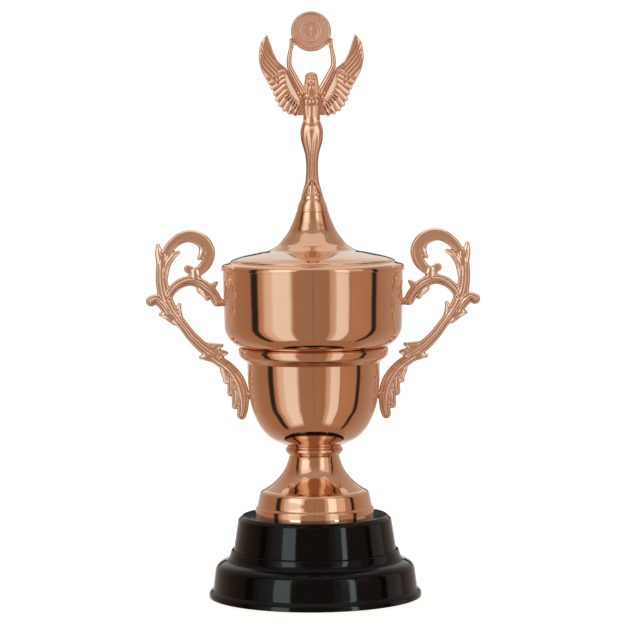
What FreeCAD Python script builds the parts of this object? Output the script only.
import FreeCAD, Part
import math
import os

# A lidded cup trophy on a two-tier base, with two scroll handles and a winged figure
# on the lid.  Millimetres, +Z up, the front faces -Y.  The origin is the centre of the
# base's underside.  Lists of points are (radius, height) for turned pieces and
# (x, height) or (x, height, half width) for flat ones; heights are above the piece's seat.

# Levels of the stack, from the table up.
BASE_DECK_Z = 43.0          # top of the lower tier's deck, where the upper tier sits
BASE_TOP_Z = 81.5           # top of the base
FOOT_TOP_Z = 141.5          # top of the copper foot
BOWL_Z = 152.0              # underside of the lower bowl
BOWL_RIM_Z = 249.5          # rim of the lower bowl
CUP_RIM_Z = 331.5           # rim of the upper cup
LID_TOP_Z = 385.5           # top of the lid's neck, where the figure stands
WAIST_Z = 235.3             # underside of the ring round the bowl's rim
OVERALL_HEIGHT = 584.6

# Radii that pieces share.
BASE_R = 106.7
REBATE_R = 81.9             # socket in the lower tier for the upper tier
BOWL_R = 66.4
BOWL_MOUTH_R = 64.4
CUP_R = 90.1
CUP_SHOULDER_R = 24.0
LIP_R = 91.8
NECK_R = 15.9

# Walls and fits.
PLASTIC_WALL = 3.0
METAL_WALL = 2.0
LID_GAP = 0.3               # air between the lid's ledge and the cup's rim
FIT = 0.05                  # clearance between pieces of one body

# Fasteners.
ROD_R = 2.95                # M6
ROD_HOLE_R = 3.4
ROD_FOOT_Z = 8.0
ROD_TOP_Z = 165.0
NUT_FLATS = 10.0
NUT_HEIGHT = 5.2
SCREW_R = 1.95              # M4
SCREW_HEAD_R = 4.0
SCREW_HEAD_H = 2.6
BOLT_R = 2.45               # M5

# Weight and felt.
FELT_R = 103.0
FELT_THICK = 2.0
WEIGHT_R = 60.0
WEIGHT_Z = 20.0
WEIGHT_THICK = 8.0

# Handles: where each is screwed to the cup and to the bowl.
HANDLE_THICK = 9.0
CUP_SCREW_Z = 295.0
BOWL_SCREW_Z = 202.0

# Figure and disc.
MEDAL_R = 20.0
MEDAL_Z = OVERALL_HEIGHT - MEDAL_R
MEDAL_THICK = 6.0
WING_THICK = 4.0
WING_SWEEP = 9.0            # degrees that each wing is swept back
HAND = (18.7, 554.8)
ELBOW = (21.7, 529.8)
SHOULDER = (9.2, 506.6)


def point(r, z):
    """A point in the XZ plane."""
    return FreeCAD.Vector(r, 0, z)


def run(kind, *points):
    """One stretch of an outline: "line" for straight pieces, "curve" for one smooth one."""
    return kind, list(points)


def raised(level, stretches):
    """The same stretches, lifted to a level."""
    return [(kind, [(r, z + level) for r, z in points]) for kind, points in stretches]


def edges_of(stretches):
    """Edges of an outline's stretches, in order."""
    edges = []
    for kind, points in stretches:
        places = [point(*p) for p in points]
        if kind == "curve":
            spline = Part.BSplineCurve()
            spline.interpolate(places)
            edges.append(spline.toShape())
        else:
            edges += [Part.makeLine(a, b) for a, b in zip(places, places[1:])]
    return edges


def inset(stretches, wall):
    """The inner side of a wall whose outer side runs upwards along the stretches."""
    flat = list(stretches[0][1])
    for _, points in stretches[1:]:
        flat += points[1:]
    inner = []
    for i, (r, z) in enumerate(flat):
        r0, z0 = flat[max(i - 1, 0)]
        r1, z1 = flat[min(i + 1, len(flat) - 1)]
        length = math.hypot(r1 - r0, z1 - z0)
        inner.append((r - wall * (z1 - z0) / length, z + wall * (r1 - r0) / length))
    result = []
    start = 0
    for kind, points in stretches:
        end = start + len(points) - 1
        result.append((kind, inner[start:end + 1]))
        start = end
    return result


def turned(stretches):
    """A solid of revolution about Z from a closed outline; the last gap is closed straight."""
    edges = edges_of(stretches)
    first = stretches[0][1][0]
    last = stretches[-1][1][-1]
    if first != last:
        edges.append(Part.makeLine(point(*last), point(*first)))
    face = Part.Face(Part.Wire(edges))
    return face.revolve(FreeCAD.Vector(0, 0, 0), FreeCAD.Vector(0, 0, 1), 360)


def shell(stretches, wall):
    """A turned wall of even thickness inside the given outer side."""
    inner = inset(stretches, wall)
    back = [(kind, points[::-1]) for kind, points in inner[::-1]]
    joint = run("line", stretches[-1][1][-1], back[0][1][0])
    return turned(stretches + [joint] + back)


def filled(stretches):
    """The solid of revolution under the given outer side, down to the axis."""
    bottom = stretches[0][1][0]
    top = stretches[-1][1][-1]
    closing = run("line", top, (0, top[1]), (0, bottom[1]), bottom)
    return turned(stretches + [closing])


def disc(radius, low, high, hole=0.0):
    """A flat round plate about Z."""
    plate = Part.makeCylinder(radius, high - low, FreeCAD.Vector(0, 0, low))
    if hole:
        plate = plate.cut(Part.makeCylinder(hole, high - low + 2, FreeCAD.Vector(0, 0, low - 1)))
    return plate


def joined(solids):
    """The solids fused into one, with seams cleaned."""
    return solids[0].multiFuse(solids[1:]).removeSplitter()


def ribs(count, radius, low, high, thick):
    """Flat ribs from the centre boss outwards."""
    rib = Part.makeBox(radius - 7, thick, high - low, FreeCAD.Vector(7, -thick / 2, low))
    return [rib.rotated(FreeCAD.Vector(0, 0, 0), FreeCAD.Vector(0, 0, 1), 360 * i / count)
            for i in range(count)]


def hexagon(flats, low, height, hole):
    """A hexagon nut about Z."""
    corner = flats / math.sqrt(3)
    corners = [FreeCAD.Vector(corner * math.cos(math.pi / 3 * i), corner * math.sin(math.pi / 3 * i), low)
               for i in range(7)]
    prism = Part.Face(Part.makePolygon(corners)).extrude(FreeCAD.Vector(0, 0, height))
    return prism.cut(disc(hole, low - 1, low + height + 1))


# ---------------------------------------------------------------- base

def base_felt():
    """The felt disc under the base, flush with the rim that it sits in."""
    return disc(FELT_R, 0, FELT_THICK)


def base_lower_tier():
    """The lower tier: flange, sloped wall, round shoulder, cove and the socket's lip."""
    outer = [
        run("line", (FELT_R + 0.3, 0), (BASE_R, 0), (BASE_R, 2.6)),
        run("curve", (BASE_R, 2.6), (106.3, 4.4), (104.9, 6.2)),
        run("line", (104.9, 6.2), (102.4, 8.4), (102.2, 10.4), (100.2, 26.6)),
        run("curve", (100.2, 26.6), (98.9, 30.6), (95.2, 34.0), (88.9, 36.8)),
        run("curve", (88.9, 36.8), (86.6, 39.6), (85.2, 43.0), (84.4, 45.6)),
        run("line", (84.4, 45.6), (83.4, 46.9), (REBATE_R, 46.9), (REBATE_R, BASE_DECK_Z)),
    ]
    inner = [
        run("line", (REBATE_R, BASE_DECK_Z), (ROD_HOLE_R, BASE_DECK_Z), (ROD_HOLE_R, BASE_DECK_Z - PLASTIC_WALL),
            (80.0, BASE_DECK_Z - PLASTIC_WALL), (86.0, 34.2), (93.6, 31.2), (97.2, 26.0), (99.0, 10.0),
            (99.0, FELT_THICK + 0.2), (FELT_R + 0.3, FELT_THICK + 0.2)),
    ]
    deck_underside = BASE_DECK_Z - PLASTIC_WALL
    boss = disc(8, WEIGHT_Z + WEIGHT_THICK, deck_underside + 1, ROD_HOLE_R)
    return joined([turned(outer + inner), boss] + ribs(6, 81, WEIGHT_Z + WEIGHT_THICK + 2, deck_underside + 0.5, 2.5))


def base_upper_tier():
    """The tapered drum that carries the foot, with its bevelled top edge."""
    seat = REBATE_R - 0.3
    outline = run(
        "line", (seat, BASE_DECK_Z), (81.5, 47.5), (77.2, 75.2), (76.8, 78.0), (72.5, BASE_TOP_Z),
        (ROD_HOLE_R, BASE_TOP_Z), (ROD_HOLE_R, BASE_TOP_Z - PLASTIC_WALL), (71.0, BASE_TOP_Z - PLASTIC_WALL),
        (74.0, 75.5), (seat - PLASTIC_WALL, 47.5), (seat - PLASTIC_WALL, BASE_DECK_Z), (seat, BASE_DECK_Z))
    boss = disc(8, BASE_DECK_Z, BASE_TOP_Z - 1, ROD_HOLE_R)
    return joined([turned([outline]), boss] + ribs(6, 73, 60, BASE_TOP_Z - PLASTIC_WALL + 0.5, 2.5))


def base_weight():
    """The iron disc, with eased edges."""
    top = WEIGHT_Z + WEIGHT_THICK
    outline = run(
        "line", (3.6, WEIGHT_Z), (WEIGHT_R - 1.5, WEIGHT_Z), (WEIGHT_R, WEIGHT_Z + 1.5), (WEIGHT_R, top - 1.5),
        (WEIGHT_R - 1.5, top), (3.6, top), (3.6, WEIGHT_Z))
    return turned([outline])


# ---------------------------------------------------------------- rod and its nuts

def tie_rod():
    """The threaded rod, as a plain shank with bevelled ends."""
    outline = run(
        "line", (0, ROD_FOOT_Z), (ROD_R - 0.8, ROD_FOOT_Z), (ROD_R, ROD_FOOT_Z + 0.8), (ROD_R, ROD_TOP_Z - 0.8),
        (ROD_R - 0.8, ROD_TOP_Z), (0, ROD_TOP_Z), (0, ROD_FOOT_Z))
    return turned([outline])


def rod_foot_washer():
    """The wide washer under the weight."""
    return disc(12, WEIGHT_Z - 1.6, WEIGHT_Z, ROD_R + FIT)


def rod_foot_nut():
    """The nut under the wide washer."""
    return hexagon(NUT_FLATS, WEIGHT_Z - 1.6 - NUT_HEIGHT, NUT_HEIGHT, ROD_R + FIT)


def rod_cup_washer():
    """The washer on the bowl's floor."""
    floor = BOWL_Z + 2.5
    return disc(9, floor, floor + 1.6, ROD_R + FIT)


def rod_cup_nut():
    """The nut on the bowl's floor."""
    return hexagon(NUT_FLATS, BOWL_Z + 2.5 + 1.6, NUT_HEIGHT, ROD_R + FIT)


# ---------------------------------------------------------------- foot, collar, bowl and cup

def foot_side():
    """Outer side of the foot: flange, drum, small ledge and trumpet flare."""
    return raised(BASE_TOP_Z, [
        run("line", (59.5, 0), (59.5, 6.6), (59.2, 7.5), (57.6, 9.9), (56.4, 14.0), (55.2, 21.1)),
        run("curve", (55.2, 21.1), (54.5, 22.9), (52.7, 24.8), (49.8, 26.0)),
        run("curve", (49.8, 26.0), (41.5, 32.2), (33.9, 40.2), (28.9, 48.3), (25.9, 56.4), (25.1, 60.0)),
    ])


def pedestal_foot():
    """The spun foot, closed at the top by a small deck."""
    deck = disc(24.6, FOOT_TOP_Z - 2.5, FOOT_TOP_Z, ROD_HOLE_R)
    return joined([shell(foot_side(), METAL_WALL), deck])


def stem_collar():
    """The knop between foot and bowl."""
    outline = raised(FOOT_TOP_Z, [
        run("line", (ROD_HOLE_R, 0), (25.2, 0), (25.4, 0.5), (27.0, 2.4), (27.6, 3.2)),
        run("curve", (27.6, 3.2), (28.9, 5.6), (27.9, 7.9)),
        run("line", (27.9, 7.9), (26.9, 9.4), (27.9, 10.5), (ROD_HOLE_R, 10.5), (ROD_HOLE_R, 0)),
    ])
    return turned(outline)


def bowl_side():
    """Outer side of the lower bowl, from its underside to its rim."""
    return raised(BOWL_Z, [
        run("curve", (27.9, 0), (33.3, 2.0), (44.3, 8.0), (53.4, 18.0), (60.0, 31.0), (63.4, 43.0), (65.9, 63.0),
            (BOWL_R, 78.0)),
        run("line", (BOWL_R, 78.0), (BOWL_R, BOWL_RIM_Z - BOWL_Z)),
    ])


def lower_bowl():
    """The spun bowl with its flat floor, drilled for the rod and for two handle screws."""
    floor = disc(33.0, BOWL_Z, BOWL_Z + 2.5, ROD_HOLE_R)
    floor = floor.common(filled(bowl_side()))
    return joined([shell(bowl_side(), METAL_WALL), floor]).cut(screw_holes(BOWL_SCREW_Z, BOWL_R))


def waist_ring():
    """The moulding round the bowl's rim."""
    outline = [
        run("line", (BOWL_R + FIT, WAIST_Z), (67.2, WAIST_Z), (69.6, WAIST_Z + 2.3)),
        run("curve", (69.6, WAIST_Z + 2.3), (73.4, WAIST_Z + 6.0), (75.2, WAIST_Z + 10.4)),
        run("line", (75.2, WAIST_Z + 10.4), (75.2, BOWL_RIM_Z - 0.8), (74.4, BOWL_RIM_Z), (BOWL_R + FIT, BOWL_RIM_Z)),
    ]
    return turned(outline)


def cup_side():
    """Outer side of the upper cup: quarter-round shoulder and slowly opening wall."""
    centre_r = 65.0
    centre_z = BOWL_RIM_Z + CUP_SHOULDER_R
    quarter = [(centre_r + CUP_SHOULDER_R * math.sin(a), centre_z - CUP_SHOULDER_R * math.cos(a))
               for a in [math.pi / 2 * i / 6 for i in range(7)]]
    return [
        run("curve", *quarter),
        run("curve", quarter[-1], (89.25, 286.0), (89.85, 308.0), (CUP_R, CUP_RIM_Z)),
    ]


def upper_cup():
    """The spun cup, open below into the bowl, with the spigot that centres it there."""
    spigot_r = BOWL_MOUTH_R - 0.2
    spigot = Part.makeCylinder(spigot_r, 12, FreeCAD.Vector(0, 0, BOWL_RIM_Z - 10))
    rim = disc(66.0, BOWL_RIM_Z, BOWL_RIM_Z + METAL_WALL)
    mouth = disc(spigot_r - METAL_WALL, BOWL_RIM_Z - 20, BOWL_RIM_Z + 20)
    cup = joined([shell(cup_side(), METAL_WALL), spigot, rim]).cut(mouth)
    return cup.cut(screw_holes(CUP_SCREW_Z, CUP_R))


# ---------------------------------------------------------------- handles

def screw_holes(height, reach):
    """Drills on the X axis through both walls at one height."""
    return Part.makeCylinder(SCREW_R + 0.2, 2 * reach + 4, FreeCAD.Vector(-reach - 2, 0, height),
                             FreeCAD.Vector(1, 0, 0))


def leaf(thick, *stations):
    """A flat curved leaf along stations (x, height, half width), round at both ends."""
    middle = Part.BSplineCurve()
    middle.interpolate([point(x, z) for x, z, _ in stations])
    knots = middle.getKnots()
    left = []
    right = []
    for i, (low, high) in enumerate(zip(knots, knots[1:])):
        for step in range(4):
            t = low + (high - low) * step / 4
            half = stations[i][2] + (stations[i + 1][2] - stations[i][2]) * step / 4
            left.append(middle.value(t) + side_of(middle, t) * half)
            right.append(middle.value(t) - side_of(middle, t) * half)
    half = stations[-1][2]
    left.append(middle.value(knots[-1]) + side_of(middle, knots[-1]) * half)
    right.append(middle.value(knots[-1]) - side_of(middle, knots[-1]) * half)
    first_cap = middle.value(knots[0]) - ahead_of(middle, knots[0]) * stations[0][2]
    last_cap = middle.value(knots[-1]) + ahead_of(middle, knots[-1]) * half
    left_edge = Part.BSplineCurve()
    left_edge.interpolate(left)
    right_edge = Part.BSplineCurve()
    right_edge.interpolate(right)
    edges = [
        left_edge.toShape(),
        Part.Arc(left[-1], last_cap, right[-1]).toShape(),
        right_edge.toShape(),
        Part.Arc(right[0], first_cap, left[0]).toShape(),
    ]
    face = Part.Face(Part.Wire(Part.__sortEdges__(edges)))
    return face.extrude(FreeCAD.Vector(0, thick, 0)).translated(FreeCAD.Vector(0, -thick / 2, 0))


def ahead_of(curve, t):
    """Unit direction of a curve in the XZ plane."""
    direction = curve.tangent(t)[0]
    return direction.normalize()


def side_of(curve, t):
    """Unit direction square to a curve in the XZ plane."""
    ahead = ahead_of(curve, t)
    return FreeCAD.Vector(-ahead.z, 0, ahead.x)


def handle_leaves():
    """The leaves and scrolls of the right-hand handle."""
    thin = HANDLE_THICK - 4
    middling = HANDLE_THICK - 2
    return [
        leaf(HANDLE_THICK, (71.0, 181.6, 3.2), (70.6, 190.0, 4.8), (71.6, 203.5, 6.4), (76.4, 217.5, 6.3),
             (85.2, 229.6, 5.3), (95.6, 237.6, 4.9), (105.0, 244.0, 5.0)),
        leaf(middling, (77.0, 190.8, 2.0), (76.2, 197.5, 3.4), (77.5, 206.0, 3.8)),
        leaf(middling, (81.0, 204.8, 1.9), (80.8, 210.5, 3.0), (83.0, 219.0, 3.2)),
        leaf(middling, (83.0, 213.5, 1.6), (85.5, 220.0, 2.8), (90.0, 227.5, 3.2)),
        leaf(thin, (113.4, 239.8, 0.8), (109.4, 240.2, 1.6), (103.0, 239.2, 3.2)),
        leaf(thin, (92.4, 252.2, 1.2), (97.5, 251.0, 2.4), (106.0, 250.0, 4.0)),
        leaf(thin + 1, (87.2, 244.4, 0.8), (91.5, 244.6, 2.6), (98.0, 243.4, 4.0)),
        leaf(HANDLE_THICK - 1, (98.0, 242.0, 4.4), (109.5, 249.6, 5.2), (121.0, 260.9, 4.7), (130.5, 273.2, 4.3),
             (138.0, 283.4, 4.8), (143.8, 292.5, 5.6), (148.3, 303.0, 6.0), (150.9, 316.0, 5.4),
             (151.0, 330.0, 5.0), (148.6, 343.0, 5.0)),
        leaf(thin, (153.6, 352.4, 0.8), (153.0, 346.5, 2.0), (152.0, 337.0, 3.4)),
        leaf(thin + 1, (134.2, 345.2, 1.1), (139.4, 342.4, 2.3), (144.8, 334.5, 2.8), (147.8, 322.0, 2.6)),
        leaf(HANDLE_THICK, (149.2, 335.0, 4.4), (145.9, 345.8, 4.3), (138.5, 355.2, 4.6), (129.0, 361.0, 5.3),
             (119.2, 361.4, 5.9), (109.6, 356.4, 6.3), (104.2, 347.0, 6.0), (105.4, 336.8, 5.2),
             (111.3, 329.2, 4.4), (119.3, 326.2, 3.6), (126.2, 330.9, 1.3)),
        leaf(middling, (112.4, 339.6, 1.0), (109.8, 343.6, 2.0), (109.8, 350.0, 2.6)),
        leaf(HANDLE_THICK - 0.5, (147.2, 296.0, 3.6), (140.8, 308.0, 4.0), (131.2, 315.4, 4.2),
             (120.6, 317.3, 4.6), (110.0, 313.0, 5.0), (100.8, 304.8, 4.6), (95.2, 295.6, 4.0)),
        leaf(middling, (96.4, 314.6, 0.8), (99.6, 311.5, 2.0), (106.0, 310.0, 3.0)),
        leaf(middling, (105.2, 298.8, 0.9), (107.0, 303.5, 2.0), (112.0, 308.5, 3.0)),
        leaf(middling, (117.6, 326.5, 3.0), (116.4, 320.5, 3.6)),
        leaf(middling, (163.4, 298.2, 3.8), (156.5, 299.2, 4.3), (150.6, 294.0, 4.4), (144.5, 285.0, 4.2)),
        leaf(thin, (152.6, 283.8, 0.8), (147.5, 282.4, 2.0), (139.0, 277.5, 3.4)),
        leaf(thin + 1, (133.6, 293.6, 0.9), (134.8, 288.4, 2.0), (134.8, 281.0, 3.4)),
    ]


def handle():
    """The right-hand handle: its leaves, two pegs against the cup and bowl, and pilot holes."""
    pegs = [
        Part.makeCylinder(3.5, 12, FreeCAD.Vector(86, 0, CUP_SCREW_Z), FreeCAD.Vector(1, 0, 0)),
        Part.makeCylinder(3.5, 12, FreeCAD.Vector(60, 0, BOWL_SCREW_Z), FreeCAD.Vector(1, 0, 0)),
    ]
    pilots = [
        Part.makeCylinder(SCREW_R + FIT, 15, FreeCAD.Vector(84, 0, CUP_SCREW_Z), FreeCAD.Vector(1, 0, 0)),
        Part.makeCylinder(SCREW_R + FIT, 15, FreeCAD.Vector(58, 0, BOWL_SCREW_Z), FreeCAD.Vector(1, 0, 0)),
    ]
    cast = joined(handle_leaves() + pegs)
    cast = cast.cut(filled(bowl_side())).cut(filled(cup_side()))
    return cast.cut(pilots[0]).cut(pilots[1])


def mirrored(shape):
    """The same piece on the other side of the cup."""
    return shape.mirror(FreeCAD.Vector(0, 0, 0), FreeCAD.Vector(1, 0, 0))


SCREW_SEATS = [(87.3, CUP_SCREW_Z), (61.7, BOWL_SCREW_Z)]     # washer's outer face and height


def handle_screws():
    """Four pan-head screws, from inside the cup and the bowl."""
    screws = []
    for seat, height in SCREW_SEATS:
        under_head = seat - 0.8
        shank = Part.makeCylinder(SCREW_R, 11, FreeCAD.Vector(under_head, 0, height), FreeCAD.Vector(1, 0, 0))
        head = Part.makeCylinder(SCREW_HEAD_R, SCREW_HEAD_H, FreeCAD.Vector(under_head, 0, height),
                                 FreeCAD.Vector(-1, 0, 0))
        head = head.makeFillet(1.2, [edge for edge in head.Edges
                                     if abs(edge.BoundBox.XMin - under_head + SCREW_HEAD_H) < 0.01
                                     and edge.BoundBox.XLength < 0.01])
        screw = joined([shank, head])
        screws += [screw, mirrored(screw)]
    return Part.makeCompound(screws)


def handle_screw_washers():
    """The four washers under the screw heads."""
    washers = []
    for seat, height in SCREW_SEATS:
        ring = Part.makeCylinder(4.5, 0.8, FreeCAD.Vector(seat - 0.8, 0, height), FreeCAD.Vector(1, 0, 0))
        bore = Part.makeCylinder(SCREW_R + FIT, 3, FreeCAD.Vector(seat - 2, 0, height), FreeCAD.Vector(1, 0, 0))
        washer = ring.cut(bore)
        washers += [washer, mirrored(washer)]
    return Part.makeCompound(washers)


# ---------------------------------------------------------------- lid

def lid():
    """The spun lid: lip, stepped rim, shallow cone, trumpet neck and inner locating skirt."""
    lip = 3.7                                  # the lip hangs this far below the cup's rim
    ledge = CUP_RIM_Z + LID_GAP
    side = raised(CUP_RIM_Z, [
        run("curve", (LIP_R, -2.4), (91.2, 0.2), (89.4, 2.2), (86.6, 3.0)),
        run("line", (86.6, 3.0), (84.0, 3.6), (82.5, 4.6), (82.2, 5.5), (80.7, 6.7)),
        run("curve", (80.7, 6.7), (70.2, 10.2), (52.7, 13.8), (44.2, 15.4), (38.6, 18.3), (33.4, 22.0),
            (28.5, 28.2), (24.2, 34.2), (21.3, 40.2), (18.5, 46.6), (NECK_R, LID_TOP_Z - CUP_RIM_Z)),
    ])
    hollow = inset(side[1:], METAL_WALL)
    back = [(kind, points[::-1]) for kind, points in hollow[::-1]]
    top_r, top_z = back[0][1][0]
    closing = run("line", side[-1][1][-1], (BOLT_R + 0.3, LID_TOP_Z), (BOLT_R + 0.3, LID_TOP_Z - 2.5),
                  (top_r + 0.8, LID_TOP_Z - 2.5), (top_r, top_z - 2.6))
    back[0] = (back[0][0], [(top_r, top_z - 2.6)] + back[0][1][1:])
    skirt = run("line", back[-1][1][-1], (86.2, ledge), (86.2, CUP_RIM_Z - 9.5), (87.6, CUP_RIM_Z - 9.5),
                (87.6, ledge), (90.5, ledge), (90.5, CUP_RIM_Z - lip), (LIP_R, CUP_RIM_Z - lip), (LIP_R, CUP_RIM_Z - 2.4))
    return turned(side + [closing] + back + [skirt])


def figure_bolt():
    """The bolt that holds the figure down, from inside the lid's neck."""
    head = hexagon(8.0, LID_TOP_Z - 2.5 - 1.0 - 3.5, 3.5, 0.0)
    shank = Part.makeCylinder(BOLT_R, 20, FreeCAD.Vector(0, 0, LID_TOP_Z - 5))
    return joined([head, shank])


def figure_washer():
    """The washer under the bolt's head."""
    return disc(6, LID_TOP_Z - 3.5, LID_TOP_Z - 2.5, BOLT_R + FIT)


# ---------------------------------------------------------------- figure

def oval(height, half_width, half_depth, shift=0.0):
    """A flat oval ring about the Z axis, moved back by shift."""
    stretch = FreeCAD.Matrix()
    stretch.scale(FreeCAD.Vector(half_width, half_depth, 1))
    stretch.move(FreeCAD.Vector(0, shift, height))
    return Part.Wire(Part.makeCircle(1).transformGeometry(stretch).Edges)


def ellipsoid(half_width, half_depth, half_height, centre):
    """A solid ellipsoid."""
    stretch = FreeCAD.Matrix()
    stretch.scale(FreeCAD.Vector(half_width, half_depth, half_height))
    stretch.move(centre)
    return Part.makeSphere(1).transformGeometry(stretch)


def limb(start, end, start_r, end_r):
    """A tapered limb with a round joint at its start."""
    along = end - start
    bar = Part.makeCone(start_r, end_r, along.Length, start, along)
    return [bar, Part.makeSphere(start_r, start)]


def figure_body():
    """The figure in a long gown on its bell pedestal, arms raised, with long hair."""
    bell = Part.makeLoft([oval(LID_TOP_Z + z, r, r) for z, r in
                          [(0, 15.5), (3.5, 15.1), (8.0, 13.7), (12.0, 11.9), (16.5, 10.6)]], True)
    gown = Part.makeLoft([
        oval(401.0, 10.8, 9.4), oval(408.0, 9.3, 8.2), oval(416.0, 7.0, 6.6), oval(430.0, 6.4, 6.2),
        oval(441.0, 6.7, 6.6), oval(449.0, 8.5, 7.2), oval(457.0, 10.7, 8.0), oval(465.0, 11.4, 8.3),
        oval(471.0, 10.2, 7.6), oval(477.5, 7.9, 6.2), oval(485.0, 8.7, 6.6), oval(494.0, 10.4, 7.4),
        oval(502.0, 10.9, 7.0), oval(507.0, 9.0, 5.6), oval(510.5, 4.4, 4.0),
    ], True)
    neck = Part.makeCylinder(3.2, 8, FreeCAD.Vector(0, 0.5, 507))
    head = ellipsoid(5.0, 6.2, 7.4, FreeCAD.Vector(0, -0.6, 517.0))
    hair = [
        ellipsoid(6.2, 5.8, 7.6, FreeCAD.Vector(0, 1.4, 517.2)),
        ellipsoid(8.2, 4.4, 9.5, FreeCAD.Vector(0, 2.4, 510.5)),
    ]
    arms = []
    for side in (-1, 1):
        shoulder = FreeCAD.Vector(side * SHOULDER[0], 0, SHOULDER[1])
        elbow = FreeCAD.Vector(side * ELBOW[0], -1.2, ELBOW[1])
        hand = FreeCAD.Vector(side * HAND[0], -0.2, HAND[1])
        arms += limb(shoulder, elbow, 3.4, 2.7) + limb(elbow, hand, 2.7, 2.0)
        arms.append(ellipsoid(2.7, 5.2, 4.4, hand))
    body = joined([bell, gown, neck, head] + hair + arms)
    body = body.cut(medal_blank()).cut(wing()).cut(mirrored(wing()))
    return body.cut(Part.makeCylinder(BOLT_R + FIT, 17, FreeCAD.Vector(0, 0, LID_TOP_Z - 1)))


def wing():
    """The right-hand wing as one swept-back plate, from its root behind the torso to its tip."""
    outer = [(44.9, 562.6), (51.4, 553.5), (53.6, 539.8), (50.6, 525.6), (44.2, 513.2), (39.6, 504.0),
             (35.6, 494.0), (28.8, 485.8), (19.2, 481.2), (6.0, 480.2)]
    inner = [(6.0, 507.0), (16.0, 518.5), (25.5, 528.4), (33.0, 534.6), (38.0, 542.6), (41.8, 553.1), (44.9, 562.6)]
    outline = [run("curve", *outer), run("line", outer[-1], inner[0]), run("curve", *inner)]
    plate = Part.Face(Part.Wire(edges_of(outline))).extrude(FreeCAD.Vector(0, WING_THICK, 0))
    plate.translate(FreeCAD.Vector(0, 2.2, 0))
    return plate.rotated(FreeCAD.Vector(6, 2.2, 0), FreeCAD.Vector(0, 0, 1), WING_SWEEP)


# ---------------------------------------------------------------- disc over the head

def medal_disc(radius, front, back):
    """A round plate that faces -Y, between two depths."""
    return Part.makeCylinder(radius, back - front, FreeCAD.Vector(0, front, MEDAL_Z), FreeCAD.Vector(0, 1, 0))


def medal_blank():
    """The space that the whole disc fills."""
    return medal_disc(MEDAL_R, -MEDAL_THICK / 2, MEDAL_THICK / 2)


def medal_frame():
    """The rimmed disc, with a recess in each face."""
    recess = MEDAL_R - 3.0
    front = medal_disc(recess, -MEDAL_THICK / 2 - 1, -1.0)
    back = medal_disc(recess, 1.0, MEDAL_THICK / 2 + 1)
    return medal_blank().cut(front).cut(back)


def medal_front():
    """The relief disc in the front recess."""
    return medal_disc(MEDAL_R - 3.0 - FIT, -2.4, -1.0)


def medal_back():
    """The relief disc in the back recess."""
    return medal_disc(MEDAL_R - 3.0 - FIT, 1.0, 2.4)


def main():
    """Builds every piece and writes one STEP file for each."""
    right_handle = handle()
    right_wing = wing()
    pieces = {
        "base_felt": base_felt(),
        "base_lower_tier": base_lower_tier(),
        "base_upper_tier": base_upper_tier(),
        "base_weight": base_weight(),
        "tie_rod": tie_rod(),
        "rod_foot_washer": rod_foot_washer(),
        "rod_foot_nut": rod_foot_nut(),
        "rod_cup_washer": rod_cup_washer(),
        "rod_cup_nut": rod_cup_nut(),
        "pedestal_foot": pedestal_foot(),
        "stem_collar": stem_collar(),
        "lower_bowl": lower_bowl(),
        "waist_ring": waist_ring(),
        "upper_cup": upper_cup(),
        "handle_right": right_handle,
        "handle_left": mirrored(right_handle),
        "handle_screws": handle_screws(),
        "handle_screw_washers": handle_screw_washers(),
        "lid": lid(),
        "figure_body": figure_body(),
        "wing_right": right_wing,
        "wing_left": mirrored(right_wing),
        "medal_frame": medal_frame(),
        "medal_front": medal_front(),
        "medal_back": medal_back(),
        "figure_bolt": figure_bolt(),
        "figure_washer": figure_washer(),
    }
    os.makedirs("parts", exist_ok=True)
    for name, shape in pieces.items():
        shape.exportStep("parts/" + name + ".step")
        print(name, len(shape.Solids), "solid(s)", "valid" if shape.isValid() else "NOT VALID")


main()
